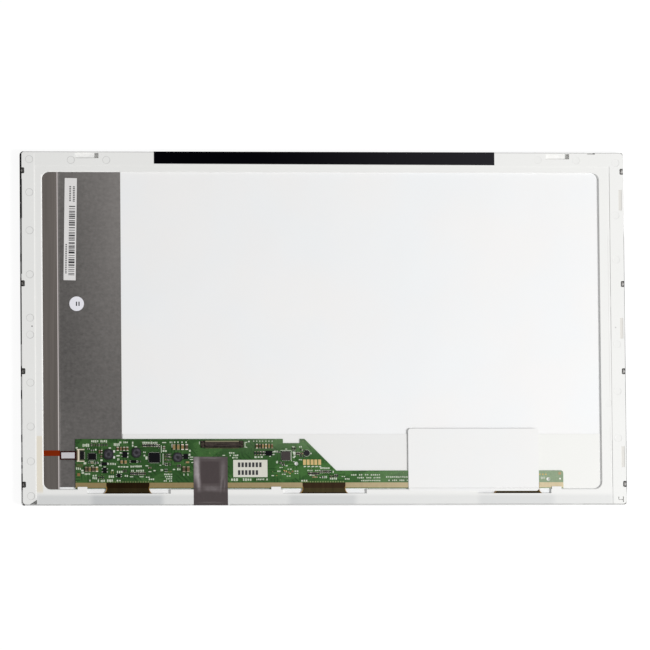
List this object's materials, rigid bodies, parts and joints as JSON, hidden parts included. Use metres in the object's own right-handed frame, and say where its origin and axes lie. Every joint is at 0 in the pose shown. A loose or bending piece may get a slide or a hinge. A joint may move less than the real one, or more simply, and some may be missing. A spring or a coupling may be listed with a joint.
{
  "type": "laptop display panel",
  "caption": "Flat laptop LCD module lying on its face: steel bezel, white moulded frame, glass cell, edge-lit backlight, control board with a flip-latch socket and side screw bosses.",
  "frame": {"origin": "centre of the panel's outline, on the front of the bezel that lies on the table", "axes": "+X along the long side, +Y towards the top edge of the picture, +Z out of the rear"},
  "size_m": [0.3592, 0.2098, 0.0055],
  "materials": {
    "bezel_steel": "rolled sheet, dull",
    "frame_white": "moulded, fine grain",
    "polariser_dark": "anti-glare film",
    "cell_glass": "thin float glass",
    "tape_black": "adhesive tape",
    "optical_film": "translucent film",
    "guide_clear": "polished acrylic",
    "reflector_white": "white polyester film",
    "heat_plate": "dull grey sheet",
    "flex_orange": "polyimide flex",
    "led_white": "moulded LED",
    "patch_white": "stiffener film",
    "board_green": "solder mask",
    "insulation_clear": "milky polyester film",
    "film_brown": "polyimide film over copper",
    "chip_black": "moulded epoxy",
    "label_white": "coated paper",
    "cover_white": "white polyester sheet",
    "tape_grey": "conductive film tape",
    "socket_cream": "moulded nylon",
    "socket_dark": "moulded nylon",
    "socket_shell": "tin-plated shell",
    "contact_gold": "plated contacts",
    "ferrite": "ferrite",
    "capacitor_tan": "fired ceramic",
    "resistor_dark": "glazed ceramic"
  },
  "bodies": {
    "panel": {"front_bezel": "bezel_steel", "main_frame": "frame_white", "front_polariser": "polariser_dark", "colour_filter_glass": "cell_glass", "array_glass": "cell_glass", "rear_polariser": "polariser_dark", "rim_tape": "tape_black", "upper_diffuser": "optical_film", "upper_prism_sheet": "optical_film", "lower_prism_sheet": "optical_film", "lower_diffuser": "optical_film", "light_guide": "guide_clear", "reflector_sheet": "reflector_white", "led_bracket": "heat_plate", "led_flex": "flex_orange", "led_packages": "led_white", "tail_patch": "patch_white", "control_board": "board_green", "insulation_film": "insulation_clear", "source_film_left": "film_brown", "source_film_middle": "film_brown", "source_film_right": "film_brown", "driver_chips": "chip_black", "top_tape": "tape_black", "grounding_tape": "tape_grey", "long_label": "label_white", "round_label": "label_white", "board_label": "label_white", "cover_sheet": "cover_white", "led_socket_housing": "socket_cream", "led_socket_contacts": "contact_gold", "display_socket_housing": "socket_dark", "display_socket_shell": "socket_shell", "display_socket_contacts": "contact_gold", "led_driver": "chip_black", "timing_controller": "chip_black", "level_shifter": "chip_black", "inductor_left": "ferrite", "inductor_middle": "ferrite", "inductor_right": "ferrite", "small_transistors": "chip_black", "round_coil": "ferrite", "chip_capacitors": "capacitor_tan", "chip_resistors": "resistor_dark"},
    "latch": {"led_socket_latch": "socket_dark"}
  },
  "joints": [
    {"name": "latch_flip", "type": "hinge", "parent": "panel", "child": "latch", "pos_m": [-0.14503, -0.07535, 0.0051], "axis": [0, -1, 0], "range_deg": [0, 90]}
  ]
}
